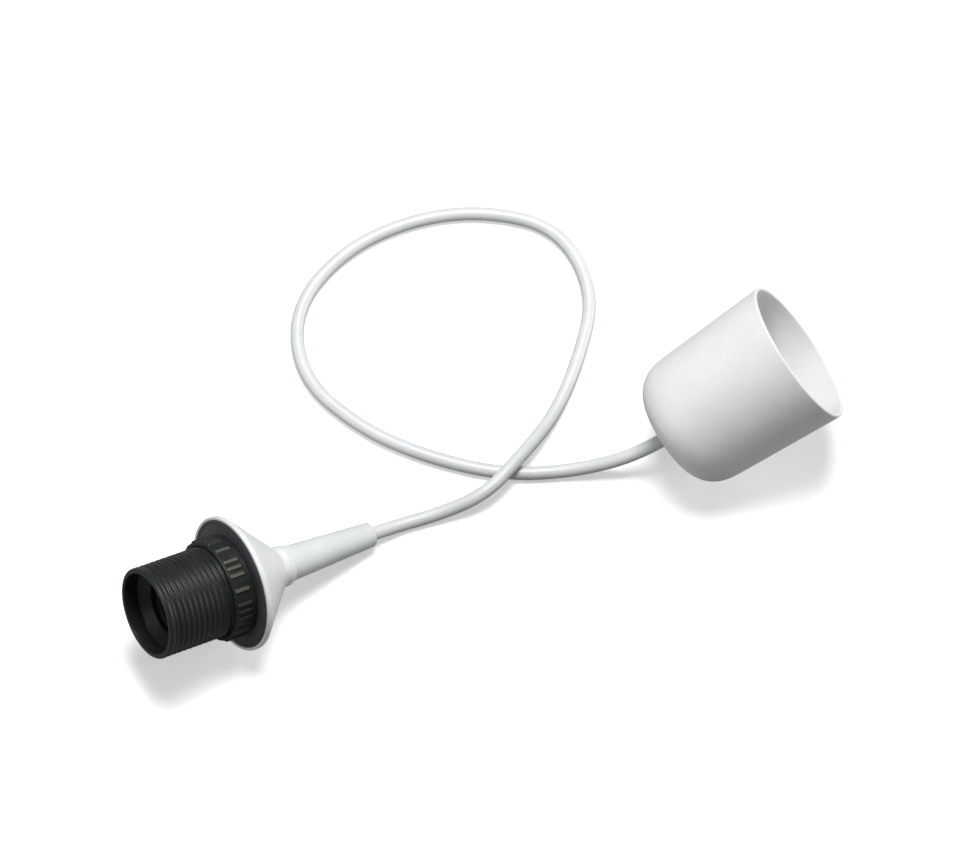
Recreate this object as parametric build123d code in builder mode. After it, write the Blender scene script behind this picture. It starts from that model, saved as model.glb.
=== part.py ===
"""Pendant lamp cord set: a ceiling cup, a round cord lying in one loose loop, and an E27 lamp holder.

Millimetres, +Z up. The set lies on its surface at Z = 0, with the origin under the middle of the
holder and the cup together. Two slanted frames place the parts: HOLDER starts at the holder's mouth
and runs towards its cord, CUP starts at the cup's rim and runs towards its base.
"""

import os
from math import cos, pi, radians, sin, tan

from build123d import *

os.makedirs("parts", exist_ok=True)

# Cord: two-core round flex
CORD_D = 5.8
CORD_R = CORD_D / 2
CORE_R = 1.15

# Holder, lying on the dome's rim and on the end of its boot
HOLDER_TURN = 30.2
HOLDER_TILT = 18.8
RIM_CENTRE_XY = (-105.49, -44.13)

# Stations along the holder, from the mouth
WEB_AT = 6.5
THREAD_FROM = 10.4
THREAD_TO = 26.5
NUT_FROM = 30.5
NUT_TO = 40.7
WASHER_FROM = 40.8
WASHER_T = 1.8
RIM_AT = 41.5
RECESS_AT = 42.9
SHELL_TO = 46.6
GROOVE_FROM = 30.0
GROOVE_TO = 30.8
NECK_FROM = 63.3
NECK_SWELL = 66.2
NECK_TO = 69.3
BOOT_TO = 111.2
INSERT_FROM = 33.5
INSERT_TO = 45.6

# Radii of the holder
SHELL_R = 19.5
SHELL_WALL = 1.9
MOUTH_R = 17.4
LAMP_R = 13.25
SLEEVE_R = 14.9
NUT_R = 21.45
RIB_R = 22.1
WASHER_R = 28.2
RIM_R = 29.0
LIP_T = 1.6
GROOVE_R = 18.9
NECK_R = 8.3
NECK_SWELL_R = 8.8
NECK_END_R = 7.8
NECK_BORE = 6.2
BOOT_R = 7.5
BOOT_END_R = 5.25
RUN_FIT = 0.06

# Cup, leaning on the rounded edge of its base
CUP_TURN = 23.16
CUP_RAISE = 29.67
CUP_RIM_XY = (131.25, 50.75)
CUP_R = 32.06
CUP_LENGTH = 67.1
CUP_CORNER = 12.8
CUP_TAPER = 3.12
CUP_WALL = 1.8
CUP_HOLE = 4.2

# Stations along the cup, from its rim
BLOCK_FROM = 12.0
BLOCK_TO = 26.0
CLAMP_FROM = 34.0
CLAMP_TO = 43.0
PIVOT_AT = 38.5
POLE_PITCH = 8.0


def along(turn, rise, length=1.0):
    """A vector of a length, turned from +X about Z and raised above the surface, in degrees."""
    flat = length * cos(radians(rise))
    return Vector(flat * cos(radians(turn)), flat * sin(radians(turn)), length * sin(radians(rise)))


def frame_at(origin, direction, turn):
    """A plane whose Z runs along a direction and whose X lies level, to the left of it."""
    return Plane(origin=origin, x_dir=along(turn + 90, 0), z_dir=direction)


def profile_of(frame):
    """The plane through a frame's axis for revolved profiles: X is the radius and Y runs along the axis."""
    return Plane(origin=frame.origin, x_dir=frame.y_dir, z_dir=frame.y_dir.cross(frame.z_dir))


# Holder frame: the back edge of the dome's lip touches the surface
to_cord = along(HOLDER_TURN, -HOLDER_TILT)
rim_height = RIM_R * cos(radians(HOLDER_TILT)) + LIP_T * sin(radians(HOLDER_TILT))
rim_centre = Vector(*RIM_CENTRE_XY, rim_height)
HOLDER = frame_at(rim_centre - to_cord * RIM_AT, to_cord, HOLDER_TURN)
HOLDER_PROFILE = profile_of(HOLDER)
HOLDER_AXIS = Axis(HOLDER.origin, HOLDER.z_dir)

# Cup frame: the base's rounded edge touches the surface
taper = tan(radians(CUP_TAPER))
corner_at = CUP_LENGTH - CUP_CORNER
corner_r = CUP_R - taper * corner_at - CUP_CORNER
cup_height = CUP_CORNER + corner_at * sin(radians(CUP_RAISE)) + corner_r * cos(radians(CUP_RAISE))
to_base = along(CUP_TURN, CUP_RAISE, -1.0)
CUP = frame_at(Vector(*CUP_RIM_XY, cup_height), to_base, CUP_TURN + 180)
CUP_PROFILE = profile_of(CUP)
CUP_AXIS = Axis(CUP.origin, CUP.z_dir)


def keep(builder, name):
    """Label a finished piece and write it to its own file."""
    builder.part.label = name
    export_step(builder.part, f"parts/{name}.step")


def at_axis(frame, distance):
    """The point on a frame's axis at a distance from its origin."""
    return frame.origin + frame.z_dir * distance


# ---- Holder: the outside ----------------------------------------------------------------------------

# The dome: a cone with a thin lip round the washer's recess, a short neck, and a collar for the shell
CONE_FROM = RIM_AT + LIP_T
DOME_WALL = 2.5
collar_r = SHELL_R + 0.1
cone_in_r = RIM_R - DOME_WALL
floor_back = RECESS_AT + 1.6

with BuildPart() as dome:
    with BuildSketch(HOLDER_PROFILE):
        with BuildLine():
            Polyline(
                (WASHER_R + 0.2, RIM_AT),
                (RIM_R - 0.3, RIM_AT),
                (RIM_R, RIM_AT + 0.3),
                (RIM_R, CONE_FROM),
                (NECK_R, NECK_FROM + 0.5),
                (NECK_SWELL_R - 0.1, NECK_SWELL - 1.0),
                (NECK_SWELL_R, NECK_SWELL),
                (NECK_SWELL_R - 0.1, NECK_SWELL + 1.0),
                (NECK_END_R + 0.2, NECK_TO - 0.5),
                (NECK_END_R - 0.2, NECK_TO),
                (NECK_BORE, NECK_TO),
                (NECK_BORE, CONE_FROM + cone_in_r - NECK_BORE),
                (cone_in_r - (floor_back - CONE_FROM), floor_back),
                (collar_r + 1.8, floor_back),
                (collar_r + 1.8, SHELL_TO + 0.6),
                (collar_r, SHELL_TO + 0.6),
                (collar_r, RECESS_AT),
                (WASHER_R + 0.2, RECESS_AT),
                close=True,
            )
        make_face()
    revolve(axis=HOLDER_AXIS)
keep(dome, "dome")

# The boot: a long tapered sleeve whose spigot plugs into the neck, flared inside where the cord leaves
SPIGOT_FROM = 63.8
COLLET_FROM = 65.0
COLLET_TO = 79.0
COLLET_R = 4.65
FLARE = 9.0

with BuildPart() as cord_boot:
    with BuildSketch(HOLDER_PROFILE):
        with BuildLine():
            Polyline(
                (NECK_BORE - 0.05, SPIGOT_FROM),
                (NECK_BORE - 0.05, NECK_TO),
                (BOOT_R - 0.3, NECK_TO),
                (BOOT_R, NECK_TO + 0.3),
                (BOOT_END_R + 0.05, BOOT_TO - 1.0),
                (BOOT_END_R - 0.25, BOOT_TO - 0.3),
                (BOOT_END_R - 0.9, BOOT_TO),
                (CORD_R + 0.8, BOOT_TO),
                (CORD_R + 0.05, BOOT_TO - FLARE),
                (CORD_R + 0.05, COLLET_TO),
                (COLLET_R + 0.05, COLLET_TO),
                (COLLET_R + 0.05, SPIGOT_FROM),
                close=True,
            )
        make_face()
    revolve(axis=HOLDER_AXIS)
keep(cord_boot, "cord_boot")

# The collet: a slit nylon bush that bites on the cord inside the boot
with BuildPart() as cord_collet:
    with BuildSketch(HOLDER.offset(COLLET_FROM)):
        Circle(COLLET_R)
        Circle(CORD_R, mode=Mode.SUBTRACT)
    extrude(amount=COLLET_TO - COLLET_FROM - 0.1)
    with BuildSketch(HOLDER.offset(COLLET_FROM)):
        with PolarLocations(COLLET_R, 4):
            Rectangle(3.2, 0.8)
    extrude(amount=8, mode=Mode.SUBTRACT)
keep(cord_collet, "cord_collet")

# The shell: an outer tube that carries the shade thread as far as its run-out groove, and an inner sleeve for
# the lamp's cap
with BuildPart() as holder_shell:
    with BuildSketch(HOLDER_PROFILE):
        with BuildLine():
            Polyline(
                (MOUTH_R, 0.5),
                (MOUTH_R + 0.5, 0),
                (SHELL_R - 0.9, 0),
                (SHELL_R - 0.25, 0.3),
                (SHELL_R, 1.0),
                (SHELL_R, GROOVE_FROM),
                (GROOVE_R, GROOVE_FROM),
                (GROOVE_R, GROOVE_TO),
                (SHELL_R, GROOVE_TO),
                (SHELL_R, SHELL_TO),
                (SHELL_R - SHELL_WALL, SHELL_TO),
                (SHELL_R - SHELL_WALL, WEB_AT + 2.6),
                (SLEEVE_R, THREAD_FROM + 1.4),
                (SLEEVE_R, THREAD_TO),
                (LAMP_R, THREAD_TO),
                (LAMP_R, THREAD_FROM),
                (MOUTH_R, WEB_AT),
                close=True,
            )
        make_face()
    revolve(axis=HOLDER_AXIS)
keep(holder_shell, "holder_shell")

# The shade nut: a ring on the shell's thread, with seven groups of grip ribs, three and one
RIB_FROM = 31.2
RIB_LENGTH = 7.2
RIB_WIDTH = 1.1
RIB_GROUPS = 7
RIB_STEP = 8.7
RIB_START = 100.0
group_turn = 360 / RIB_GROUPS
rib_depth = RIB_R - NUT_R + 0.4

with BuildPart() as shade_nut:
    with BuildSketch(HOLDER_PROFILE):
        with BuildLine():
            Polyline(
                (SHELL_R + RUN_FIT, NUT_FROM),
                (NUT_R - 0.4, NUT_FROM),
                (NUT_R, NUT_FROM + 0.4),
                (NUT_R, NUT_TO),
                (SHELL_R + RUN_FIT, NUT_TO),
                close=True,
            )
        make_face()
    revolve(axis=HOLDER_AXIS)
    for rib_angle in (-RIB_STEP, 0, RIB_STEP, group_turn / 2):
        with BuildSketch(HOLDER.offset(RIB_FROM)):
            with PolarLocations(RIB_R - rib_depth / 2, RIB_GROUPS, start_angle=RIB_START + rib_angle):
                Rectangle(rib_depth, RIB_WIDTH)
        extrude(amount=RIB_LENGTH)
keep(shade_nut, "shade_nut")

# The shade washer: a flat disc that presses the lampshade against the dome's rim
with BuildPart() as shade_washer:
    with BuildSketch(HOLDER.offset(WASHER_FROM)):
        Circle(WASHER_R)
        Circle(SHELL_R + RUN_FIT, mode=Mode.SUBTRACT)
    extrude(amount=WASHER_T)
    chamfer(shade_washer.edges().filter_by(GeomType.CIRCLE).group_by(SortBy.RADIUS)[-1], 0.3)
keep(shade_washer, "shade_washer")

# ---- Holder: the contact block inside -------------------------------------------------------------

TERMINAL_X = 9.0
TERMINAL_W = 6.0
TERMINAL_FROM = 37.0
POCKET_GAP = 0.1
FOOT_R = 0.8
FOOT_AT = INSERT_FROM - 0.2
CENTRE_FOOT_Y = -7.0
SIDE_FOOT_X = 12.3
SIDES = (-1, 1)

# The contact block: a thick disc with a pocket for each terminal and a groove for each contact's foot
with BuildPart() as contact_block:
    with BuildSketch(HOLDER.offset(INSERT_FROM)):
        Circle(SHELL_R - SHELL_WALL - 0.1)
    extrude(amount=INSERT_TO - INSERT_FROM)
    for side in SIDES:
        with BuildSketch(HOLDER.offset(TERMINAL_FROM - POCKET_GAP)):
            with Locations((side * TERMINAL_X, 0)):
                Rectangle(TERMINAL_W + 2 * POCKET_GAP, TERMINAL_W + 2 * POCKET_GAP)
            with Locations((side * (TERMINAL_X + 6), 0)):
                Rectangle(8, 4.4)
        extrude(amount=INSERT_TO - TERMINAL_FROM + 1, mode=Mode.SUBTRACT)
    centre_foot = HOLDER.offset(FOOT_AT).from_local_coords((0, CENTRE_FOOT_Y, 0))
    with BuildSketch(Plane(origin=centre_foot, x_dir=HOLDER.y_dir, z_dir=HOLDER.x_dir)):
        Circle(FOOT_R + RUN_FIT)
    extrude(amount=3.2, both=True, mode=Mode.SUBTRACT)
    side_foot = HOLDER.offset(FOOT_AT).from_local_coords((SIDE_FOOT_X, 0, 0))
    with BuildSketch(Plane(origin=side_foot, x_dir=HOLDER.x_dir, z_dir=HOLDER.y_dir)):
        Circle(FOOT_R + RUN_FIT)
    extrude(amount=3.2, both=True, mode=Mode.SUBTRACT)
keep(contact_block, "contact_block")

# The centre contact: a spring tongue from its foot in the block up to the lamp's tip
TONGUE_RISE = 3.4
TONGUE_RUN = 8.6
TONGUE_T = 0.5
TONGUE_W = 5.0

with BuildPart() as centre_contact:
    with BuildSketch(Plane(origin=centre_foot, x_dir=HOLDER.y_dir, z_dir=HOLDER.y_dir.cross(-HOLDER.z_dir))):
        Circle(FOOT_R)
        with BuildLine():
            Polyline(
                (0, FOOT_R - TONGUE_T),
                (TONGUE_RUN, TONGUE_RISE),
                (TONGUE_RUN + 1.6, TONGUE_RISE - 0.6),
                (TONGUE_RUN + 1.6, TONGUE_RISE - 0.6 + TONGUE_T),
                (TONGUE_RUN, TONGUE_RISE + TONGUE_T),
                (0, FOOT_R),
                close=True,
            )
        make_face()
    extrude(amount=TONGUE_W / 2, both=True)
keep(centre_contact, "centre_contact")

# The side contact: an upright spring strip that bears on the lamp cap's thread
STRIP_H = 5.6
STRIP_T = 0.5

with BuildPart() as side_contact:
    with BuildSketch(Plane(origin=side_foot, x_dir=HOLDER.x_dir, z_dir=HOLDER.x_dir.cross(-HOLDER.z_dir))):
        Circle(FOOT_R)
        with BuildLine():
            Polyline(
                (-0.25, 0),
                (-0.25, STRIP_H - 1.6),
                (-0.75, STRIP_H - 0.8),
                (-0.25, STRIP_H),
                (-0.25 + STRIP_T, STRIP_H),
                (-0.25, STRIP_H - 0.8),
                (-0.25 + STRIP_T, STRIP_H - 1.6),
                (-0.25 + STRIP_T, 0),
                close=True,
            )
        make_face()
    extrude(amount=TONGUE_W / 2, both=True)
keep(side_contact, "side_contact")

# The two terminals: brass blocks with a wire hole from behind and a screw hole from the side
WIRE_DEPTH = 5.0
TERMINAL_SCREW_R = 1.3


def terminal_block(side):
    """One brass terminal of the holder, on one side of its axis."""
    with BuildPart() as terminal:
        with BuildSketch(HOLDER.offset(TERMINAL_FROM)):
            with Locations((side * TERMINAL_X, 0)):
                Rectangle(TERMINAL_W, TERMINAL_W)
        extrude(amount=INSERT_TO - TERMINAL_FROM - 0.6)
        with BuildSketch(HOLDER.offset(INSERT_TO - WIRE_DEPTH - 0.6)):
            with Locations((side * TERMINAL_X, 0)):
                Circle(CORE_R + 0.05)
        extrude(amount=WIRE_DEPTH + 1, mode=Mode.SUBTRACT)
        with BuildSketch(terminal_side(side, TERMINAL_X + TERMINAL_W / 2)):
            Circle(TERMINAL_SCREW_R + 0.02)
        extrude(amount=-1.6, mode=Mode.SUBTRACT)
    return terminal


def terminal_side(side, distance):
    """The plane across a terminal's screw, facing outwards, at a distance from the holder's axis."""
    middle = HOLDER.offset(INSERT_TO - 3.4).from_local_coords((side * distance, 0, 0))
    return Plane(origin=middle, x_dir=HOLDER.y_dir, z_dir=HOLDER.x_dir * side)


for side, name in zip(SIDES, ("terminal_live", "terminal_neutral")):
    keep(terminal_block(side), name)

# Their screws: cheese heads with a slot, one a side, in one node
SCREW_HEAD_R = 2.0
SCREW_HEAD_H = 1.6

with BuildPart() as terminal_screws:
    for side in SIDES:
        with BuildSketch(terminal_side(side, TERMINAL_X + TERMINAL_W / 2 - 1.5)):
            Circle(TERMINAL_SCREW_R)
        extrude(amount=3.0)
        with BuildSketch(terminal_side(side, TERMINAL_X + TERMINAL_W / 2 + 1.5)):
            Circle(SCREW_HEAD_R)
        extrude(amount=SCREW_HEAD_H)
        with BuildSketch(terminal_side(side, TERMINAL_X + TERMINAL_W / 2 + 1.5 + SCREW_HEAD_H)):
            Rectangle(2 * SCREW_HEAD_R, 0.6)
        extrude(amount=-0.8, mode=Mode.SUBTRACT)
keep(terminal_screws, "terminal_screws")

# ---- The cord ------------------------------------------------------------------------------------------

# Straight tails of the sheath: one through the boot and neck, one from the cup's hole to its clamp
EXIT_INSIDE = 13.0
HOLDER_TAIL_FROM = 58.0
CUP_TAIL_TO = CUP_LENGTH - 5.0
CUP_TAIL_FROM = CLAMP_FROM


def straight_tail(frame, start, end):
    """A straight length of cord sheath on a frame's axis, between two stations."""
    with BuildPart() as tail:
        with BuildSketch(frame.offset(start)):
            Circle(CORD_R)
        extrude(amount=end - start)
    return tail


keep(straight_tail(HOLDER, HOLDER_TAIL_FROM, BOOT_TO - EXIT_INSIDE), "cord_tail_holder")
keep(straight_tail(CUP, CUP_TAIL_FROM, CUP_TAIL_TO), "cord_tail_cup")


def bend_radii(points):
    """For each corner of a route, 0.45 of its shorter run over the tangent of half its turn."""
    radii = []
    for before, corner, after in zip(points, points[1:], points[2:]):
        run_in = corner - before
        run_out = after - corner
        half_turn = radians(run_in.get_angle(run_out)) / 2
        radii.append(0.45 * min(run_in.length, run_out.length) / tan(half_turn))
    return radii


def routed_tube(points, radius):
    """A round tube along straight runs joined by tangent arcs, and its bend radii and length."""
    radii = bend_radii(points)
    with BuildPart() as tube:
        with BuildLine() as path:
            FilletPolyline(*points, radius=radii)
        start = (points[1] - points[0]).normalized()
        with BuildSketch(Plane(origin=points[0], z_dir=start)):
            Circle(radius)
        sweep(path=path.wires()[0])
    return tube, radii, path.wires()[0].length


# The free cord lies in one loose loop and passes over itself; its ends are in line with the tails
LIE = CORD_R
OVER = CORD_R + 2 * CORD_D
cord_route = [
    at_axis(HOLDER, BOOT_TO - EXIT_INSIDE),
    at_axis(HOLDER, BOOT_TO + 8.1),
    Vector(-20.5, 0.5, LIE),
    Vector(-1, 8, OVER),
    Vector(14, 23, OVER),
    Vector(29, 46, LIE),
    Vector(40, 73, LIE),
    Vector(47.5, 106, LIE),
    Vector(32, 138, LIE),
    Vector(-2, 146.5, LIE),
    Vector(-34, 141.5, LIE),
    Vector(-63, 125.5, LIE),
    Vector(-83, 97.5, LIE),
    Vector(-79, 64, LIE),
    Vector(-54, 40.5, LIE),
    Vector(-26, 26.5, LIE),
    Vector(7.5, 17.5, LIE),
    Vector(38.5, 20, LIE),
    at_axis(CUP, CUP_LENGTH + 14.0),
    at_axis(CUP, CUP_TAIL_TO),
]
cord_sheath, cord_radii, cord_length = routed_tube(cord_route, CORD_R)
keep(cord_sheath, "cord_sheath")
print("cord bend radii:", [round(r) for r in cord_radii])
print("cord length", round(cord_length, 1))
print("cord volume over section times length", round(cord_sheath.part.volume / (pi * CORD_R**2 * cord_length), 4))

# The cores beyond the sheath's ends: brown and blue, from the sheath to their terminals
SPLIT = 1.3


def core_wire(frame, stations, offset, spread, name):
    """One insulated core: straight beside the axis, then out to its terminal, between four stations."""
    points = [frame.offset(at).from_local_coords((x, 0, 0)) for at, x in zip(stations, (offset, offset, spread, spread))]
    keep(routed_tube(points, CORE_R)[0], name)


# Each core's stations: the sheath's end, the start and end of its bend, and the bottom of its hole
HOLDER_CORE = (HOLDER_TAIL_FROM, HOLDER_TAIL_FROM - 2.6, INSERT_TO + 2.4, INSERT_TO - WIRE_DEPTH)
CUP_CORE = (CLAMP_FROM, CLAMP_FROM - 1.7, BLOCK_TO + 1.7, BLOCK_TO - 4.8)
for side, colour in zip(SIDES, ("brown", "blue")):
    core_wire(HOLDER, HOLDER_CORE, side * SPLIT, side * TERMINAL_X, f"core_{colour}_holder")
    core_wire(CUP, CUP_CORE, side * SPLIT, side * POLE_PITCH / 2, f"core_{colour}_cup")

# ---- Ceiling cup -----------------------------------------------------------------------------------------

# The cup: a tapered bell with a rounded base and a hole for the grommet
inner_corner = CUP_CORNER - CUP_WALL
GROMMET_FROM = CUP_LENGTH - 5.0

with BuildPart() as ceiling_cup:
    with BuildSketch(CUP_PROFILE):
        with BuildLine():
            Line((CUP_R - CUP_WALL, 0), (CUP_R, 0))
            Line((CUP_R, 0), (corner_r + CUP_CORNER, corner_at))
            outer_arc = CenterArc((corner_r, corner_at), CUP_CORNER, 0, 90)
            Line((corner_r, CUP_LENGTH), (CUP_HOLE, CUP_LENGTH))
            Line((CUP_HOLE, CUP_LENGTH), (CUP_HOLE, CUP_LENGTH - CUP_WALL))
            Line((CUP_HOLE, CUP_LENGTH - CUP_WALL), (corner_r, CUP_LENGTH - CUP_WALL))
            CenterArc((corner_r, corner_at), inner_corner, 90, -90)
            Line((corner_r + inner_corner, corner_at), (CUP_R - CUP_WALL, 0))
        make_face()
    revolve(axis=CUP_AXIS)
    fillet(ceiling_cup.edges().filter_by(GeomType.CIRCLE).sort_by(CUP_AXIS)[:2], 0.6)
keep(ceiling_cup, "ceiling_cup")

# The grommet: a soft bush in the cup's hole that drags on the cord, so that the cup stays where it is put
GROMMET_LIP = 6.4

with BuildPart() as cup_grommet:
    with BuildSketch(CUP_PROFILE):
        with BuildLine():
            Polyline(
                (CORD_R + RUN_FIT, GROMMET_FROM),
                (GROMMET_LIP, GROMMET_FROM),
                (GROMMET_LIP, CUP_LENGTH - CUP_WALL),
                (CUP_HOLE, CUP_LENGTH - CUP_WALL),
                (CUP_HOLE, CUP_LENGTH),
                (CORD_R + RUN_FIT, CUP_LENGTH),
                close=True,
            )
        make_face()
    revolve(axis=CUP_AXIS)
keep(cup_grommet, "cup_grommet")

# The cord clamp: two nylon jaws on the sheath, held by two screws, with a pivot hole for the hook
CLAMP_W = 15.0
CLAMP_H = 10.0
JAW_GAP = 0.6
PIVOT_R = 1.0
HOOK_WIRE_R = 1.1
CLAMP_SCREW_X = 5.4
clamp_length = CLAMP_TO - CLAMP_FROM

for side, name in zip(SIDES, ("clamp_jaw_lower", "clamp_jaw_upper")):
    jaw_h = (CLAMP_H - JAW_GAP) / 2
    with BuildPart() as clamp_jaw:
        with BuildSketch(CUP.offset(CLAMP_FROM)):
            with Locations((0, side * (JAW_GAP + jaw_h) / 2)):
                Rectangle(CLAMP_W, jaw_h)
            Circle(CORD_R, mode=Mode.SUBTRACT)
        extrude(amount=clamp_length)
        with BuildSketch(Plane(origin=at_axis(CUP, PIVOT_AT), x_dir=CUP.x_dir, z_dir=CUP.y_dir)):
            with Locations((-CLAMP_SCREW_X, 0), (CLAMP_SCREW_X, 0)):
                Circle(1.25)
        extrude(amount=CLAMP_H, both=True, mode=Mode.SUBTRACT)
    keep(clamp_jaw, name)

# The clamp's screws: one each side of the cord
with BuildPart() as clamp_screws:
    for side in SIDES:
        head_at = CUP.offset(PIVOT_AT).from_local_coords((side * CLAMP_SCREW_X, CLAMP_H / 2, 0))
        with BuildSketch(Plane(origin=head_at, x_dir=CUP.x_dir, z_dir=CUP.y_dir)):
            Circle(2.2)
        extrude(amount=1.5)
        with BuildSketch(Plane(origin=head_at, x_dir=CUP.x_dir, z_dir=CUP.y_dir)):
            Circle(1.2)
        extrude(amount=-9.0)
        with BuildSketch(Plane(origin=head_at + CUP.y_dir * 1.5, x_dir=CUP.x_dir, z_dir=CUP.y_dir)):
            Rectangle(4.4, 0.6)
        extrude(amount=-0.8, mode=Mode.SUBTRACT)
keep(clamp_screws, "clamp_screws")

# The hook's two pivot studs, pressed into the sides of the clamp
STUD_OUT = 3.4

with BuildPart() as pivot_studs:
    for side in SIDES:
        stud_at = CUP.offset(PIVOT_AT).from_local_coords((side * CLAMP_W / 2, CLAMP_H / 4, 0))
        with BuildSketch(Plane(origin=stud_at, x_dir=CUP.y_dir, z_dir=CUP.x_dir * side)):
            Circle(PIVOT_R)
        extrude(amount=STUD_OUT)
        with BuildSketch(Plane(origin=stud_at, x_dir=CUP.y_dir, z_dir=CUP.x_dir * side).offset(STUD_OUT)):
            Circle(1.7)
        extrude(amount=0.6)
keep(pivot_studs, "pivot_studs")

# The suspension hook: a steel wire stirrup on the studs that hangs over the ceiling's own hook
HOOK_REST = 38.0
HOOK_LENGTH = 32.0
HOOK_BEND = 4.5
EYE_T = 2.6
hook_half = CLAMP_W / 2 + 1.8
hook_pivot = CUP.offset(PIVOT_AT).from_local_coords((0, CLAMP_H / 4, 0))
hook_way = (CUP.z_dir * -cos(radians(HOOK_REST)) - CUP.y_dir * sin(radians(HOOK_REST))).normalized()

with BuildPart() as suspension_hook:
    for side in SIDES:
        eye_at = hook_pivot + CUP.x_dir * side * (hook_half - EYE_T / 2)
        with BuildSketch(Plane(origin=eye_at, x_dir=CUP.y_dir, z_dir=CUP.x_dir * side)):
            Circle(2.4)
        extrude(amount=EYE_T)
    with BuildLine() as hook_line:
        FilletPolyline(
            hook_pivot + CUP.x_dir * hook_half + hook_way * 1.5,
            hook_pivot + CUP.x_dir * hook_half + hook_way * HOOK_LENGTH,
            hook_pivot - CUP.x_dir * hook_half + hook_way * HOOK_LENGTH,
            hook_pivot - CUP.x_dir * hook_half + hook_way * 1.5,
            radius=HOOK_BEND,
        )
    with BuildSketch(Plane(origin=hook_pivot + CUP.x_dir * hook_half + hook_way * 1.5, z_dir=hook_way)):
        Circle(HOOK_WIRE_R)
    sweep(path=hook_line.wires()[0])
    with BuildSketch(Plane(origin=hook_pivot, x_dir=CUP.y_dir, z_dir=CUP.x_dir)):
        Circle(PIVOT_R + RUN_FIT)
    extrude(amount=2 * CLAMP_W, both=True, mode=Mode.SUBTRACT)
keep(suspension_hook, "suspension_hook")

# The terminal block: a two-pole strip for the ceiling wires
BLOCK_W = 15.4
BLOCK_H = 11.0
TUBE_R = 2.6
ENTRY_R = 1.5
ENTRY_DEPTH = 8.0
SCREW_WELL_R = 1.7
SCREW_STATIONS = (BLOCK_FROM + 3.6, BLOCK_TO - 3.2)
POLES = (-POLE_PITCH / 2, POLE_PITCH / 2)

with BuildPart() as terminal_strip:
    with BuildSketch(CUP.offset(BLOCK_FROM)):
        RectangleRounded(BLOCK_W, BLOCK_H, 2.0)
        with Locations(*[(x, 0) for x in POLES]):
            Circle(TUBE_R + 0.03, mode=Mode.SUBTRACT)
    extrude(amount=BLOCK_TO - BLOCK_FROM)
    for station in SCREW_STATIONS:
        with BuildSketch(Plane(origin=at_axis(CUP, station), x_dir=CUP.x_dir, z_dir=CUP.y_dir)):
            with Locations(*[(x, 0) for x in POLES]):
                Circle(SCREW_WELL_R)
        extrude(amount=BLOCK_H, mode=Mode.SUBTRACT)
keep(terminal_strip, "terminal_strip")

# Its brass tubes: a blind hole in front for the ceiling wire and one behind for the cord's core
with BuildPart() as terminal_tubes:
    with BuildSketch(CUP.offset(BLOCK_FROM + 0.6)):
        with Locations(*[(x, 0) for x in POLES]):
            Circle(TUBE_R)
    extrude(amount=BLOCK_TO - BLOCK_FROM - 0.6)
    with BuildSketch(CUP.offset(BLOCK_FROM)):
        with Locations(*[(x, 0) for x in POLES]):
            Circle(ENTRY_R)
    extrude(amount=ENTRY_DEPTH + 0.6, mode=Mode.SUBTRACT)
    with BuildSketch(CUP.offset(BLOCK_TO)):
        with Locations(*[(x, 0) for x in POLES]):
            Circle(CORE_R + 0.05)
    extrude(amount=-5.0, mode=Mode.SUBTRACT)
keep(terminal_tubes, "terminal_tubes")

# Its four screws, sunk in their wells above the tubes
with BuildPart() as strip_screws:
    for station in SCREW_STATIONS:
        for x in POLES:
            seat = CUP.offset(station).from_local_coords((x, TUBE_R + 0.1, 0))
            with BuildSketch(Plane(origin=seat, x_dir=CUP.x_dir, z_dir=CUP.y_dir)):
                Circle(SCREW_WELL_R - 0.1)
            extrude(amount=2.4)
            with BuildSketch(Plane(origin=seat + CUP.y_dir * 2.4, x_dir=CUP.x_dir, z_dir=CUP.y_dir)):
                Rectangle(3.4, 0.6)
            extrude(amount=-0.8, mode=Mode.SUBTRACT)
keep(strip_screws, "strip_screws")
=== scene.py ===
"""A pendant lamp cord set lying on a pale lit table: a white ceiling cup, a round cord in one loose loop,
and a black screw lamp holder with a white dome and a tapered boot. Metres, in the frame of the CAD part."""

import math

import bpy
import numpy as np
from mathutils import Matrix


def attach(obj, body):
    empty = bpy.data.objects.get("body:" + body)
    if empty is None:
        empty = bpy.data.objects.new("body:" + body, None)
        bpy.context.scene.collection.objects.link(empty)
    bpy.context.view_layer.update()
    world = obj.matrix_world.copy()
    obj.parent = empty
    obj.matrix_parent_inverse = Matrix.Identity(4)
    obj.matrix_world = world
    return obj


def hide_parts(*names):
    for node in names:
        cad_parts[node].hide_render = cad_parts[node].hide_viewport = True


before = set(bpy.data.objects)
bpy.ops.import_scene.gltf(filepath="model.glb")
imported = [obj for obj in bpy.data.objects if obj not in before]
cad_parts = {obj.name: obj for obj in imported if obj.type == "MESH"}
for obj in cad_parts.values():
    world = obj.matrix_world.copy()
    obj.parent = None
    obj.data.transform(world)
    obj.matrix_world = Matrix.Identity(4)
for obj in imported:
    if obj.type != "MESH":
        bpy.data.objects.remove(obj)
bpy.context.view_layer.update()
MM = 0.001

# ---- Camera ------------------------------------------------------------------------------------------
# The set is seen from 2 m off through a long lens, from well above its near side, so that the loop opens out.
# The lens is given for a sensor 36 mm wide.
CAMERA_DISTANCE = 2.0
CAMERA_RISE = math.radians(63.7)
CAMERA_AIM = (-1.63 * MM, 38.93 * MM, 0.0)

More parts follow.
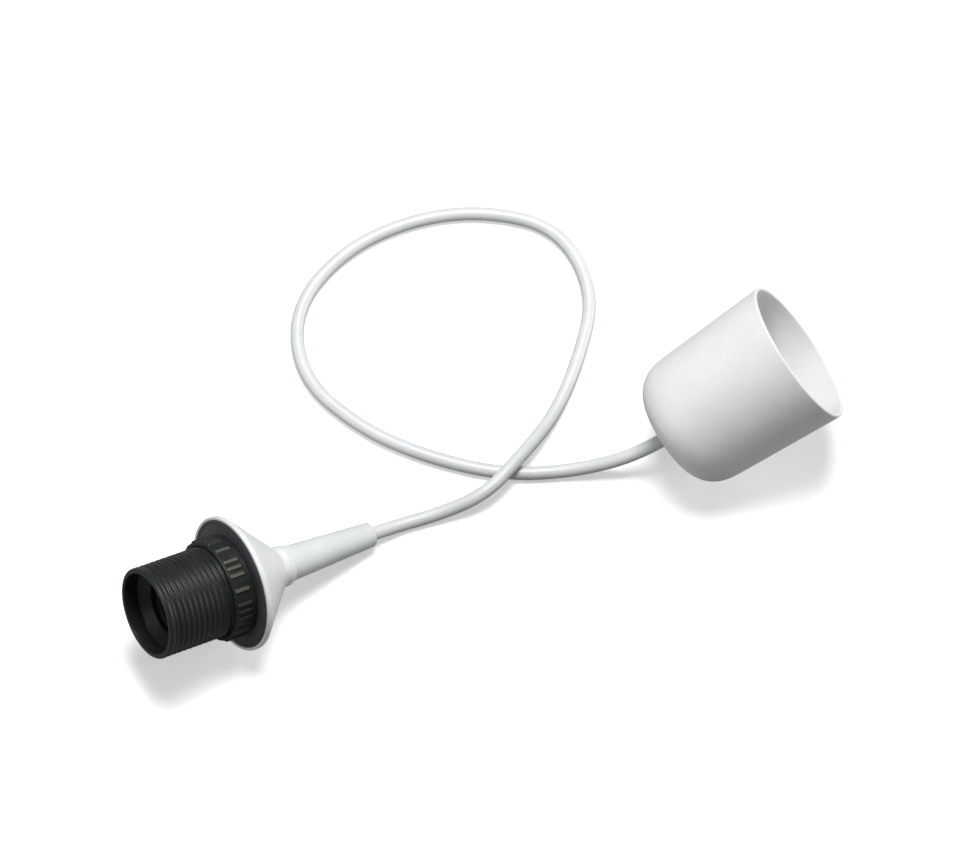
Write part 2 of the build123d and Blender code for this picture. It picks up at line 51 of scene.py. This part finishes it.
lens = bpy.data.cameras.new("camera")
lens.lens = 174.7
lens.sensor_width = 36.0
lens.sensor_fit = "HORIZONTAL"
lens.clip_start, lens.clip_end = 0.1, 100.0
camera = bpy.data.objects.new("camera", lens)
camera.location = (
    CAMERA_AIM[0],
    CAMERA_AIM[1] - CAMERA_DISTANCE * math.cos(CAMERA_RISE),
    CAMERA_DISTANCE * math.sin(CAMERA_RISE),
)
camera.rotation_euler = (math.pi / 2 - CAMERA_RISE, 0.0, 0.0)
bpy.context.scene.collection.objects.link(camera)
bpy.context.scene.camera = camera
bpy.context.scene.view_settings.view_transform = "Standard"

# ---- Cord --------------------------------------------------------------------------------------------
# The cord is a round two-core flex, 5.8 mm over its white PVC sheath. It leaves the boot, rises over its
# own far strand in a low hump, runs round one loose loop on the table and goes up into the cup's base.
CORD_DIAMETER = 5.8 * MM
cord_points = np.array(
    [
        (-0.059100, -0.017130, 0.009696),
        (-0.041837, -0.007083, 0.002896),
        (-0.0202, -0.0005, 0.0029),
        (-0.0001, 0.0061, 0.0089),
        (0.0142, 0.0232, 0.0089),
        (0.0292, 0.0457, 0.0029),
        (0.0400, 0.0730, 0.0029),
        (0.0472, 0.1060, 0.0029),
        (0.0320, 0.1380, 0.0029),
        (-0.0020, 0.1465, 0.0029),
        (-0.0340, 0.1415, 0.0029),
        (-0.0630, 0.1255, 0.0029),
        (-0.0830, 0.0975, 0.0029),
        (-0.0790, 0.0640, 0.0029),
        (-0.0540, 0.0405, 0.0029),
        (-0.0260, 0.0268, 0.0029),
        (0.0075, 0.0181, 0.0029),
        (0.0385, 0.0200, 0.0029),
        (0.066462, 0.023035, 0.013697),
        (0.081640, 0.029528, 0.023102),
    ]
)

cord_line = bpy.data.curves.new("cord", "CURVE")
cord_line.dimensions = "3D"
strand = cord_line.splines.new("NURBS")
strand.points.add(len(cord_points) - 1)
strand.points.foreach_set("co", np.column_stack([cord_points, np.ones(len(cord_points))]).ravel())
strand.order_u = 3
strand.use_endpoint_u = True
cord_line.resolution_u = 16
cord_line.bevel_depth = CORD_DIAMETER / 2
cord_line.bevel_resolution = 10
cord_line.use_fill_caps = True
cord = bpy.data.objects.new("cord", cord_line)
bpy.context.scene.collection.objects.link(cord)


def linear(code):
    """A colour given as sRGB hex, turned into the linear light that shaders use, by the standard's own formula: a
    straight line for the darkest tones, and a power of 2.4 above them."""
    part = np.array([int(code[i : i + 2], 16) / 255 for i in (1, 3, 5)])
    light = np.where(part <= 0.04045, part / 12.92, ((part + 0.055) / 1.055) ** 2.4)
    return (*light, 1.0)


def node(tree, kind, settings=None, **links):
    """Adds one node. settings are its own properties and its sockets' values, and links the sockets that feed its
    inputs, with an underscore for a space in an input's name."""
    made = tree.nodes.new("ShaderNode" + kind)
    for key, value in (settings or {}).items():
        if hasattr(made, key):
            setattr(made, key, value)
        else:
            made.inputs[key].default_value = value
    for key, source in links.items():
        tree.links.new(source, made.inputs[key.replace("_", " ")])
    return made


def blank(name):
    """An empty node material: the material, its tree and its output node."""
    made = bpy.data.materials.new(name)
    made.use_nodes = True
    made.node_tree.nodes.clear()
    return made, made.node_tree, node(made.node_tree, "OutputMaterial")


# The spans of a noise's value over which a plastic's colour and its gloss change
TINT_SPAN = (0.38, 0.62)
GLOSS_SPAN = (0.35, 0.65)


def moulded(name, light, shade, cloud_mm, grain_mm, grain_depth, rough, shader=None, highlight_paint=None):
    """A moulded or extruded plastic. Two close colours drift into each other in clouds of a size in mm, the gloss
    drifts between two roughnesses with them, and a fine grain of a size in mm stands up by a depth in mm. The last
    argument gives an attribute of the piece, from 0 to 1, and a lighter colour painted on where it is 1, as a painted
    highlight."""
    made, tree, out = blank(name)
    place = node(tree, "TexCoord").outputs["Object"]
    cloud = node(tree, "TexNoise", {"Scale": 1 / (cloud_mm * MM), "Detail": 4.0, "Roughness": 0.55}, Vector=place)
    tint = node(tree, "ValToRGB", None, Fac=cloud.outputs["Fac"])
    for stop, position, tone in zip(tint.color_ramp.elements, TINT_SPAN, (shade, light)):
        stop.position, stop.color = position, linear(tone)
    gloss = node(
        tree,
        "MapRange",
        {"From Min": GLOSS_SPAN[0], "From Max": GLOSS_SPAN[1], "To Min": rough[0], "To Max": rough[1]},
        Value=cloud.outputs["Fac"],
    )
    grain = node(tree, "TexNoise", {"Scale": 1 / (grain_mm * MM), "Detail": 2.0}, Vector=place)
    bump = node(tree, "Bump", {"Strength": 1.0, "Distance": grain_depth * MM}, Height=grain.outputs["Fac"])
    colour = tint.outputs["Color"]
    # Painted highlight: where the attribute is 1, the skin takes the lighter colour
    if highlight_paint:
        highlight_mask = node(tree, "Attribute", {"attribute_name": highlight_paint[0]}).outputs["Fac"]
        colour = node(tree, "MixRGB", {"Color2": linear(highlight_paint[1])}, Fac=highlight_mask, Color1=colour).outputs["Color"]
    skin = node(
        tree,
        "BsdfPrincipled",
        shader,
        Base_Color=colour,
        Roughness=gloss.outputs["Result"],
        Normal=bump.outputs["Normal"],
    )
    tree.links.new(skin.outputs["BSDF"], out.inputs["Surface"])
    return made


# Soft PVC, extruded: an even white skin with a low gloss and the faint waviness of the die
cord_pvc = moulded("soft_white_PVC", "#DFE1E1", "#DADCDC", 9.0, 1.1, 0.02, (0.36, 0.44), {"IOR": 1.53})
cord_line.materials.append(cord_pvc)
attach(cord, "cord_set")
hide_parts("cord_sheath")

# Its straight ends inside the boot and the cup are the frame's own solids
for tail in ("cord_tail_holder", "cord_tail_cup"):
    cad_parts[tail].data.materials.clear()
    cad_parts[tail].data.materials.append(cord_pvc)

# ---- Holder shell ------------------------------------------------------------------------------------
# The holder's shell is one black glass-filled PBT moulding: a barrel with a coarse rounded thread for the
# shade nut outside, and a sleeve with the lamp's knuckle thread inside. Its mouth has a small round edge.


def slanted(start, turn, rise):
    """A frame for turned pieces: its start in mm, a level direction, an upright one, and the direction along its axis.
    The axis is turned from +X about Z and raised above the table, in degrees."""
    turn, rise = math.radians(turn), math.radians(rise)
    along = np.array([math.cos(turn) * math.cos(rise), math.sin(turn) * math.cos(rise), math.sin(rise)])
    level = np.array([-math.sin(turn), math.cos(turn), 0.0])
    return np.array(start), level, np.cross(along, level), along


HOLDER = slanted((-139.444, -63.892, 41.342), 30.2, -18.8)


def outline(corners, step):
    """A closed outline in mm from corners given as (distance from the axis, station, rounding). Each corner becomes an
    arc that touches both its sides, drawn as a weighted quadratic whose middle weight is the cosine of half the turn,
    and every run is then divided so that no piece is longer than step."""
    rows = np.array(corners, float)
    corner, rounding = rows[:, :2], rows[:, 2:]
    into = corner - np.roll(corner, 1, 0)
    away = np.roll(corner, -1, 0) - corner
    into /= np.linalg.norm(into, axis=1, keepdims=True)
    away /= np.linalg.norm(away, axis=1, keepdims=True)
    half = np.arccos(np.clip((into * away).sum(1, keepdims=True), -1, 1)) / 2
    first = (corner - into * rounding * np.tan(half))[:, None]
    last = (corner + away * rounding * np.tan(half))[:, None]
    t = np.linspace(0, 1, 7)[None, :, None]
    pull = 2 * np.cos(half)[:, None] * t * (1 - t)
    arc = ((1 - t) ** 2 * first + pull * corner[:, None] + t**2 * last) / ((1 - t) ** 2 + pull + t**2)
    loop = arc.reshape(-1, 2)
    loop = np.vstack([loop, loop[:1]])
    run = np.concatenate([[0], np.cumsum(np.linalg.norm(np.diff(loop, axis=0), axis=1))])
    at = np.unique(np.round(np.concatenate([run, np.arange(0, run[-1], step)]), 3))
    at = at[at < run[-1] - 0.01]
    return np.column_stack([np.interp(at, run, loop[:, 0]), np.interp(at, run, loop[:, 1])])


def turned(name, loop, place, angles=192, swell=None):
    """A ring-shaped solid: a closed outline carried round a slanted axis. A point is
    start + station * along + distance * (cos angle * level + sin angle * up), in mm. angles is a number of even
    steps, or the angles themselves. swell adds to the distance, as a function of angle, distance and station, for
    threads and ribs. The outline is turned the way that makes the faces look outwards, and both directions close on
    themselves."""
    start, level, up, along = place
    x, y = loop[:, 0], loop[:, 1]
    if (x * np.roll(y, -1) - y * np.roll(x, -1)).sum() < 0:
        x, y = x[::-1], y[::-1]
    angle = np.linspace(0, 2 * math.pi, angles, endpoint=False) if np.isscalar(angles) else angles
    angle = angle[:, None]
    x, y = np.broadcast_to(x, (len(angle), len(x))), np.broadcast_to(y, (len(angle), len(y)))
    out = x if swell is None else x + swell(angle, x, y)
    ray = np.cos(angle)[..., None] * level + np.sin(angle)[..., None] * up
    return closed_grid(name, (start + y[..., None] * along + out[..., None] * ray) * MM)


def closed_grid(name, points):
    """A closed skin over a grid of points whose rows and columns both join up at their ends, as four-sided faces."""
    rows, columns = points.shape[:2]
    i, j = np.meshgrid(np.arange(rows), np.arange(columns), indexing="ij")
    i2, j2 = (i + 1) % rows, (j + 1) % columns
    faces = np.stack([i * columns + j, i2 * columns + j, i2 * columns + j2, i * columns + j2], -1).reshape(-1, 4)
    return skinned(name, points.reshape(-1, 3), faces)


def skinned(name, points, faces):
    """A smooth-shaded piece at the origin from points in metres and faces that all have the same number of corners."""
    mesh = bpy.data.meshes.new(name)
    mesh.vertices.add(len(points))
    mesh.vertices.foreach_set("co", np.ascontiguousarray(points, np.float32).ravel())
    mesh.loops.add(faces.size)
    mesh.loops.foreach_set("vertex_index", faces.astype(np.int32).ravel())
    mesh.polygons.add(len(faces))
    mesh.polygons.foreach_set("loop_start", np.arange(0, faces.size, faces.shape[1], dtype=np.int32))
    mesh.polygons.foreach_set("use_smooth", np.ones(len(faces), bool))
    mesh.update(calc_edges=True)
    mesh.validate()
    made = bpy.data.objects.new(name, mesh)
    bpy.context.scene.collection.objects.link(made)
    return made


def fitted(piece, material, body, slot, *nodes):
    """Gives a finished piece its material and its body, and hides the CAD nodes that it stands for. slot is not used.
    """
    piece.data.materials.append(material)
    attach(piece, body)
    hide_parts(*nodes)


def smooth(t):
    """0 below 0, 1 above 1, and an even S between them."""
    t = np.clip(t, 0, 1)
    return t * t * (3 - 2 * t)


def winding(angle, station, pitch):
    """An even wave from 0 to 1 that moves on by a pitch in one turn: half of 1 plus the cosine of its turns."""
    return 0.5 + 0.5 * np.cos(2 * math.pi * (station / pitch - angle / (2 * math.pi)))


def between(station, first, last, run):
    """1 between two stations, falling to 0 at each of them over a run, in an even S."""
    return smooth((station - first) / run) * smooth((last - station) / run)


# The barrel's thread for the shade nut: pitch, depth, the power that makes its crests narrower than its grooves,
# where it starts and ends, and over what run it fades. Points past OUTER_SKIN from the axis are on the outside.
BARREL_RADIUS, OUTER_SKIN = 19.5, 19.2
SHADE_PITCH, SHADE_DEPTH, SHADE_CREST = 2.5, 0.62, 1.6
SHADE_FROM, SHADE_TO, SHADE_FADE = 1.6, 44.5, 2.0
# The sleeve's knuckle thread for the lamp, in the same way. Points within BORE_SKIN of its radius are on the bore.
SLEEVE_BORE, BORE_SKIN = 13.25, 0.1
LAMP_PITCH, LAMP_DEPTH = 3.629, 1.05
SLEEVE_FROM, SLEEVE_TO, LAMP_FADE = 10.4, 26.5, 3.0


def shell_threads(angle, distance, station):
    """Outside, a round crest every pitch falls back from the barrel's full width by a thread depth; inside the sleeve,
    an even wave stands in from the bore. Both wind with the angle and fade out at their ends."""
    outside = (distance > OUTER_SKIN) * between(station, SHADE_FROM, SHADE_TO, SHADE_FADE)
    inside = (abs(distance - SLEEVE_BORE) < BORE_SKIN) * between(station, SLEEVE_FROM, SLEEVE_TO, LAMP_FADE)
    groove = 1 - winding(angle, station, SHADE_PITCH) ** SHADE_CREST
    return -SHADE_DEPTH * outside * groove - LAMP_DEPTH * inside * winding(angle, station, LAMP_PITCH)


shell = turned(
    "holder_barrel",
    outline(
        [
            (17.4, 0.0, 0.5),
            (BARREL_RADIUS, 0.0, 0.9),
            (BARREL_RADIUS, 46.6, 0.4),
            (17.6, 46.6, 0.3),
            (17.6, 9.1, 0.4),
            (14.9, 11.8, 0.4),
            (14.9, SLEEVE_TO, 0.3),
            (SLEEVE_BORE, SLEEVE_TO, 0.4),
            (SLEEVE_BORE, SLEEVE_FROM, 0.5),
            (17.4, 6.5, 0.6),
        ],
        0.36,
    ),
    HOLDER,
    168,
    shell_threads,
)
# PBT with glass: near black with a cold green cast, a semi-gloss skin with a faint orange peel
holder_pbt = moulded(
    "black_PBT", "#272B28", "#232724", 6.0, 0.7, 0.012, (0.34, 0.42), {"IOR": 1.57, "Specular IOR Level": 0.22}
)
fitted(shell, holder_pbt, "cord_set", "holder_black_pbt", "holder_shell")

# ---- Shade nut ---------------------------------------------------------------------------------------
# The shade nut is a black PBT ring that runs on the barrel's thread and clamps the lampshade. Flat-topped
# grip ribs stand on it in seven groups of three, with a single rib between one group and the next.
NUT_BORE, NUT_WIDE = 19.56, 21.45
NUT_FROM, NUT_TO = 30.5, 40.7
# Points within NUT_LINING of the axis are on the ring's bore, and points past NUT_SKIN on its outside
NUT_LINING, NUT_SKIN = 19.7, 21.0
NUT_THREAD_DEPTH = 0.35

# The ribs: the angle of one group's middle and the step inside a group, in degrees, and the number of groups; then,
# in mm, half a rib's width, its rise, how far its foot is from its middle and how wide its flank is; then its two
# ends and the run of its slope there
RIB_START, RIB_STEP, RIB_GROUPS = 100.0, 8.7, 7
RIB_HALF, RIB_RISE = 0.72, 0.65
RIB_FOOT, RIB_FLANK = RIB_HALF * 1.3, RIB_HALF * 0.45
RIB_FROM, RIB_TO, RIB_SLOPE = 31.1, 38.5, 0.5
group_turn = 360 / RIB_GROUPS
group_middles = RIB_START + group_turn * np.arange(RIB_GROUPS)
ribs_of_group = np.array([-RIB_STEP, 0, RIB_STEP, group_turn / 2])
rib_angles = np.radians((group_middles[:, None] + ribs_of_group) % 360).ravel()

# The ring's even angles, with more of them across each rib's top and flanks, and none closer than MIN_STEP
EVEN_ANGLES, MIN_STEP = 180, 0.002
rib_flank = np.array([-1.35, -1.0, -0.8, -0.4, 0.0, 0.4, 0.8, 1.0, 1.35]) * RIB_HALF / NUT_WIDE
even_angles = np.linspace(0, 2 * math.pi, EVEN_ANGLES, endpoint=False)
nut_angles = np.sort(np.concatenate([even_angles, (rib_angles[:, None] + rib_flank).ravel()]) % (2 * math.pi))
nut_angles = nut_angles[np.concatenate([[True], np.diff(nut_angles) > MIN_STEP])]


def nut_ribs(angle, distance, station):
    """A rib stands out where the arc to the nearest rib's middle is under half its width, between its two ends. Inside,
    the nut's thread stands back from the bore between the barrel's crests."""
    off = np.abs((angle[..., None] - rib_angles + math.pi) % (2 * math.pi) - math.pi).min(-1) * NUT_WIDE
    rib = smooth((RIB_FOOT - off) / RIB_FLANK) * between(station, RIB_FROM, RIB_TO, RIB_SLOPE)
    thread = winding(angle, station, SHADE_PITCH)
    return (distance > NUT_SKIN) * RIB_RISE * rib + (distance < NUT_LINING) * NUT_THREAD_DEPTH * thread


nut = turned(
    "shade_nut_ring",
    outline(
        [
            (NUT_BORE, NUT_FROM, 0.3),
            (NUT_WIDE, NUT_FROM, 0.65),
            (NUT_WIDE, NUT_TO, 0.3),
            (NUT_BORE, NUT_TO, 0.3),
        ],
        0.42,
    ),
    HOLDER,
    nut_angles,
    nut_ribs,
)
# The same PBT from another tool. A painted highlight lightens the ribs' tops to a warm grey on the side that faces the
# overhead light:
# fully within 29 degrees of a place on the ring, and not at all past 47
HIGHLIGHT_PLACE, HIGHLIGHT_FULL, HIGHLIGHT_END = 100.0, 29.0, 47.0
nut_points = np.empty(len(nut.data.vertices) * 3)
nut.data.vertices.foreach_get("co", nut_points)
nut_points = nut_points.reshape(-1, 3) / MM - HOLDER[0]
nut_side, nut_rise = nut_points @ HOLDER[1], nut_points @ HOLDER[2]
highlight_away = np.abs((np.degrees(np.arctan2(nut_rise, nut_side)) - HIGHLIGHT_PLACE + 180) % 360 - 180)
rib_top = smooth((np.hypot(nut_side, nut_rise) - NUT_WIDE - RIB_RISE / 2) / (RIB_RISE / 2))
painted_highlight = nut.data.attributes.new("painted_highlight", "FLOAT", "POINT")
painted_highlight.data.foreach_set("value", rib_top * smooth((HIGHLIGHT_END - highlight_away) / (HIGHLIGHT_END - HIGHLIGHT_FULL)))
nut_pbt = moulded(
    "black_PBT_nut",
    "#262A27",
    "#222623",
    4.0,
    0.6,
    0.012,
    (0.40, 0.48),
    {"IOR": 1.57, "Specular IOR Level": 0.2},
    # The attribute and the warm grey of the ribs' painted highlight
    ("painted_highlight", "#5E5A54"),
)
fitted(nut, nut_pbt, "shade_nut", "holder_black_pbt", "shade_nut")

# ---- Shade washer ------------------------------------------------------------------------------------
# The shade washer is a flat black disc that presses the lampshade's ring against the dome. A shallow groove
# runs round its front face near the edge, and it is a shade lighter and duller than the nut.
WASHER_WIDE, WASHER_FRONT, WASHER_BACK = 27.5, 40.8, 42.6
WASHER_GROOVE = WASHER_FRONT + 0.25
washer = turned(
    "shade_washer_disc",
    outline(
        [
            (NUT_BORE, WASHER_FRONT, 0.25),
            (25.6, WASHER_FRONT, 0.2),
            (25.9, WASHER_GROOVE, 0.15),
            (26.5, WASHER_GROOVE, 0.15),
            (26.8, WASHER_FRONT, 0.2),
            (WASHER_WIDE, WASHER_FRONT + 0.05, 0.35),
            (WASHER_WIDE, WASHER_BACK, 0.35),
            (NUT_BORE, WASHER_BACK, 0.25),
        ],
        0.6,
    ),
    HOLDER,
    224,
)
washer_pbt = moulded(
    "matt_black_PBT", "#454347", "#3D3B40", 5.0, 0.5, 0.015, (0.46, 0.56), {"IOR": 1.57, "Specular IOR Level": 0.4}
)
fitted(washer, washer_pbt, "shade_washer", "washer_black_pbt", "shade_washer")

# ---- Dome --------------------------------------------------------------------------------------------
# The dome is a thin white polypropylene cone that covers the wiring. Its lip stands round the washer, its
# neck swells a little before the joint with the boot, and a collar inside holds the shell.
dome = turned(
    "dome_cone",
    outline(
        [
            (27.7, 41.0, 0.3),
            (29.0, 41.0, 0.35),
            (29.0, 43.1, 0.7),
            (8.35, 63.75, 2.2),
            (8.85, 66.2, 3.0),
            (7.75, 69.3, 0.5),
            (6.2, 69.3, 0.3),
            (6.2, 63.4, 2.0),
            (25.0, 44.6, 0.4),
            (21.4, 44.5, 0.3),
            (21.4, 47.2, 0.3),
            (19.6, 47.2, 0.3),
            (19.6, 42.9, 0.25),
            (27.7, 42.9, 0.25),
        ],
        0.8,
    ),
    HOLDER,
    256,
)
# Polypropylene, moulded: a soft even white with a satin spark-eroded grain
dome_pp = moulded("satin_white_PP", "#E5E7E7", "#E0E2E2", 14.0, 0.9, 0.03, (0.44, 0.54), {"IOR": 1.49})
fitted(dome, dome_pp, "cord_set", "dome_polypropylene", "dome")

# ---- Boot --------------------------------------------------------------------------------------------
# The boot is a long tapered sleeve of white soft plastic that keeps the cord from kinking. It is pushed into
# the dome's neck, which leaves a fine joint line, and flares inside where the cord leaves it.
boot = turned(
    "boot_sleeve",
    outline(
        [
            (6.12, 63.9, 0.2),
            (6.12, 69.15, 0.15),
            (7.3, 69.15, 0.5),
            (7.55, 69.9, 1.5),
            (5.3, 111.2, 1.1),
            (3.75, 111.2, 0.4),
            (2.98, 102.5, 6.0),
            (2.98, 79.1, 0.3),
            (4.72, 79.1, 0.2),
            (4.72, 63.9, 0.2),
        ],
        0.9,
    ),
    HOLDER,
    128,
)
boot_tpe = moulded("soft_white_TPE", "#DFE1E2", "#D9DCDD", 11.0, 0.8, 0.04, (0.46, 0.56), {"IOR": 1.5})
fitted(boot, boot_tpe, "cord_set", "boot_elastomer", "cord_boot")

# ---- Ceiling cup -------------------------------------------------------------------------------------
# The ceiling cup is a white polypropylene bell, 1.8 mm thick, that slides up the cord over the wiring. It
# narrows a little towards its base, which is rounded right over to the flat round the cord's hole.
CUP = slanted((131.25, 50.75, 53.842), 203.16, -29.67)
CUP_HOLE, CUP_LENGTH, CUP_FLOOR = 4.2, 67.1, 65.3
cup = turned(
    "cup_bell",
    outline(
        [
            (30.26, 0.0, 0.7),
            (32.06, 0.0, 0.7),
            (29.22, 52.03, 40.0),
            (28.44, 56.97, 18.0),
            (23.71, CUP_LENGTH, 13.2),
            (CUP_HOLE, CUP_LENGTH, 0.3),
            (CUP_HOLE, CUP_FLOOR, 0.3),
            (22.57, CUP_FLOOR, 11.4),
            (26.7, 56.44, 16.0),
            (27.43, 51.83, 38.0),
        ],
        1.0,
    ),
    CUP,
    288,
)
cup_pp = moulded("white_PP", "#E7E8E8", "#E3E5E5", 16.0, 0.9, 0.03, (0.50, 0.60), {"IOR": 1.49})
fitted(cup, cup_pp, "ceiling_cup", "cup_polypropylene", "ceiling_cup")

# ---- Grommet -----------------------------------------------------------------------------------------
# The grommet is a soft white bush pushed into the cup's hole from inside. It drags on the cord, so that the
# cup stays up against the ceiling, and opens out a little to let the cord bend.
grommet = turned(
    "cup_bush",
    outline(
        [
            (3.05, 62.1, 0.5),
            (6.4, 62.1, 0.9),
            (6.4, CUP_FLOOR, 0.25),
            (CUP_HOLE, CUP_FLOOR, 0.2),
            (CUP_HOLE, CUP_LENGTH, 0.2),
            (3.6, CUP_LENGTH, 0.15),
            (3.05, 64.0, 2.0),
        ],
        0.6,
    ),
    CUP,
    96,
)
bush_rubber = moulded("white_rubber", "#E4E4E0", "#DCDCD8", 5.0, 0.5, 0.02, (0.55, 0.65), {"IOR": 1.52})
fitted(grommet, bush_rubber, "ceiling_cup", "grommet_rubber", "cup_grommet")

# ---- Wiring parts ------------------------------------------------------------------------------------
# Inside the cup and the holder the frame's own solids show: nylon clamp, terminal strip and collet, an ivory
# thermoset contact block, brass terminals and contacts, plated steel screws and hook, and the two cores.


def worn_metal(name, light, shade, cloud_mm, streak_mm, rough):
    """A bright metal: two close tints in clouds of a size in mm, with marks of rolling or drawing in its gloss that
    have a width in mm."""
    made, tree, out = blank(name)
    place = node(tree, "TexCoord").outputs["Object"]
    cloud = node(tree, "TexNoise", {"Scale": 1 / (cloud_mm * MM), "Detail": 5.0}, Vector=place)
    tint = node(tree, "ValToRGB", None, Fac=cloud.outputs["Fac"])
    tint.color_ramp.elements[0].color, tint.color_ramp.elements[1].color = linear(shade), linear(light)
    streak = node(tree, "TexNoise", {"Scale": 1 / (streak_mm * MM), "Detail": 3.0}, Vector=place)
    gloss = node(tree, "MapRange", {"To Min": rough[0], "To Max": rough[1]}, Value=streak.outputs["Fac"])
    bump = node(tree, "Bump", {"Strength": 0.6, "Distance": 0.01 * MM}, Height=streak.outputs["Fac"])
    skin = node(
        tree,
        "BsdfPrincipled",
        {"Metallic": 1.0},
        Base_Color=tint.outputs["Color"],
        Roughness=gloss.outputs["Result"],
        Normal=bump.outputs["Normal"],
    )
    tree.links.new(skin.outputs["BSDF"], out.inputs["Surface"])
    return made


wiring = {
    moulded("natural_nylon", "#E3DFD1", "#D6D1C2", 6.0, 0.6, 0.02, (0.42, 0.52), {"IOR": 1.53}): (
        "cord_collet",
        "clamp_jaw_lower",
        "clamp_jaw_upper",
        "terminal_strip",
    ),
    moulded("ivory_thermoset", "#D3CAB2", "#C4BAA2", 5.0, 0.4, 0.03, (0.5, 0.6), {"IOR": 1.55}): ("contact_block",),
    moulded("brown_PVC", "#6A4230", "#5C3828", 4.0, 0.4, 0.01, (0.38, 0.46), {"IOR": 1.53}): (
        "core_brown_holder",
        "core_brown_cup",
    ),
    moulded("blue_PVC", "#2C62AE", "#25559A", 4.0, 0.4, 0.01, (0.38, 0.46), {"IOR": 1.53}): (
        "core_blue_holder",
        "core_blue_cup",
    ),
    worn_metal("bright_brass", "#D2AE63", "#BC9650", 3.0, 0.4, (0.2, 0.34)): (
        "centre_contact",
        "side_contact",
        "terminal_live",
        "terminal_neutral",
        "terminal_tubes",
    ),
    worn_metal("zinc_plated_steel", "#C3C6CA", "#A9ADB2", 3.0, 0.5, (0.24, 0.4)): (
        "terminal_screws",
        "clamp_screws",
        "pivot_studs",
        "suspension_hook",
        "strip_screws",
    ),
}
for material, names in wiring.items():
    for name in names:
        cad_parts[name].data.materials.clear()
        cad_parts[name].data.materials.append(material)

# ---- Table and light ---------------------------------------------------------------------------------
# The set lies on a white opal sheet that glows faintly, which keeps the shadows pale. A large soft light hangs
# nearly overhead, a little behind it, with a weaker one low on each side. What light comes back up to the set
# is that of a grey card just under the sheet, so that its lower sides stay in shade.
TABLE_HALF = 6.0
CARD_DEPTH = 0.5 * MM
GLOW = {"Emission Color": linear("#FFFFFF"), "Emission Strength": 0.42}
LIGHT_AIM = (0.0, 0.03, 0.02)


def level_sheet(name, height, material):
    """A flat square sheet at a height in metres, as a part of the studio."""
    made = skinned(
        name,
        np.array([(-1, -1, 0), (1, -1, 0), (1, 1, 0), (-1, 1, 0)]) * [TABLE_HALF, TABLE_HALF, 1] + [0, 0, height],
        np.array([[0, 1, 2, 3]]),
    )
    made.data.materials.append(material)
    return made


opal_acrylic = moulded("lit_opal_acrylic", "#F7F7F7", "#F4F4F4", 80.0, 1.5, 0.01, (0.75, 0.85), GLOW)
table = level_sheet("table", 0.0, opal_acrylic)
table.visible_diffuse = table.visible_glossy = table.visible_shadow = False
matt_card = moulded("grey_card", "#909090", "#8A8A8A", 80.0, 1.5, 0.01, (0.8, 0.9))
card = level_sheet("grey_card", -CARD_DEPTH, matt_card)
card.visible_camera = False


def soft_light(name, place, size, power, colour):
    """A square soft light at a place in metres, turned to face the middle of the set."""
    lamp = bpy.data.lights.new(name, "AREA")
    lamp.shape, lamp.size, lamp.energy, lamp.color = "SQUARE", size, power, linear(colour)[:3]
    made = bpy.data.objects.new(name, lamp)
    made.location = place
    away = np.array(place) - np.array(LIGHT_AIM)
    flat = math.hypot(away[0], away[1])
    made.rotation_euler = (math.atan2(flat, away[2]), 0.0, math.atan2(away[1], away[0]) + math.pi / 2)
    bpy.context.scene.collection.objects.link(made)


soft_light("key_light", (0.05, 0.43, 1.54), 0.7, 26.0, "#FFFFFF")
soft_light("right_light", (1.5, 0.25, 0.25), 0.8, 12.0, "#FFFFFF")
soft_light("left_light", (-1.5, -0.55, 0.55), 0.8, 7.5, "#FFFFFF")

surround = bpy.data.worlds.new("surround")
surround.use_nodes = True
surround.node_tree.nodes["Background"].inputs["Color"].default_value = linear("#F2F5F8")
surround.node_tree.nodes["Background"].inputs["Strength"].default_value = 0.1
bpy.context.scene.world = surround
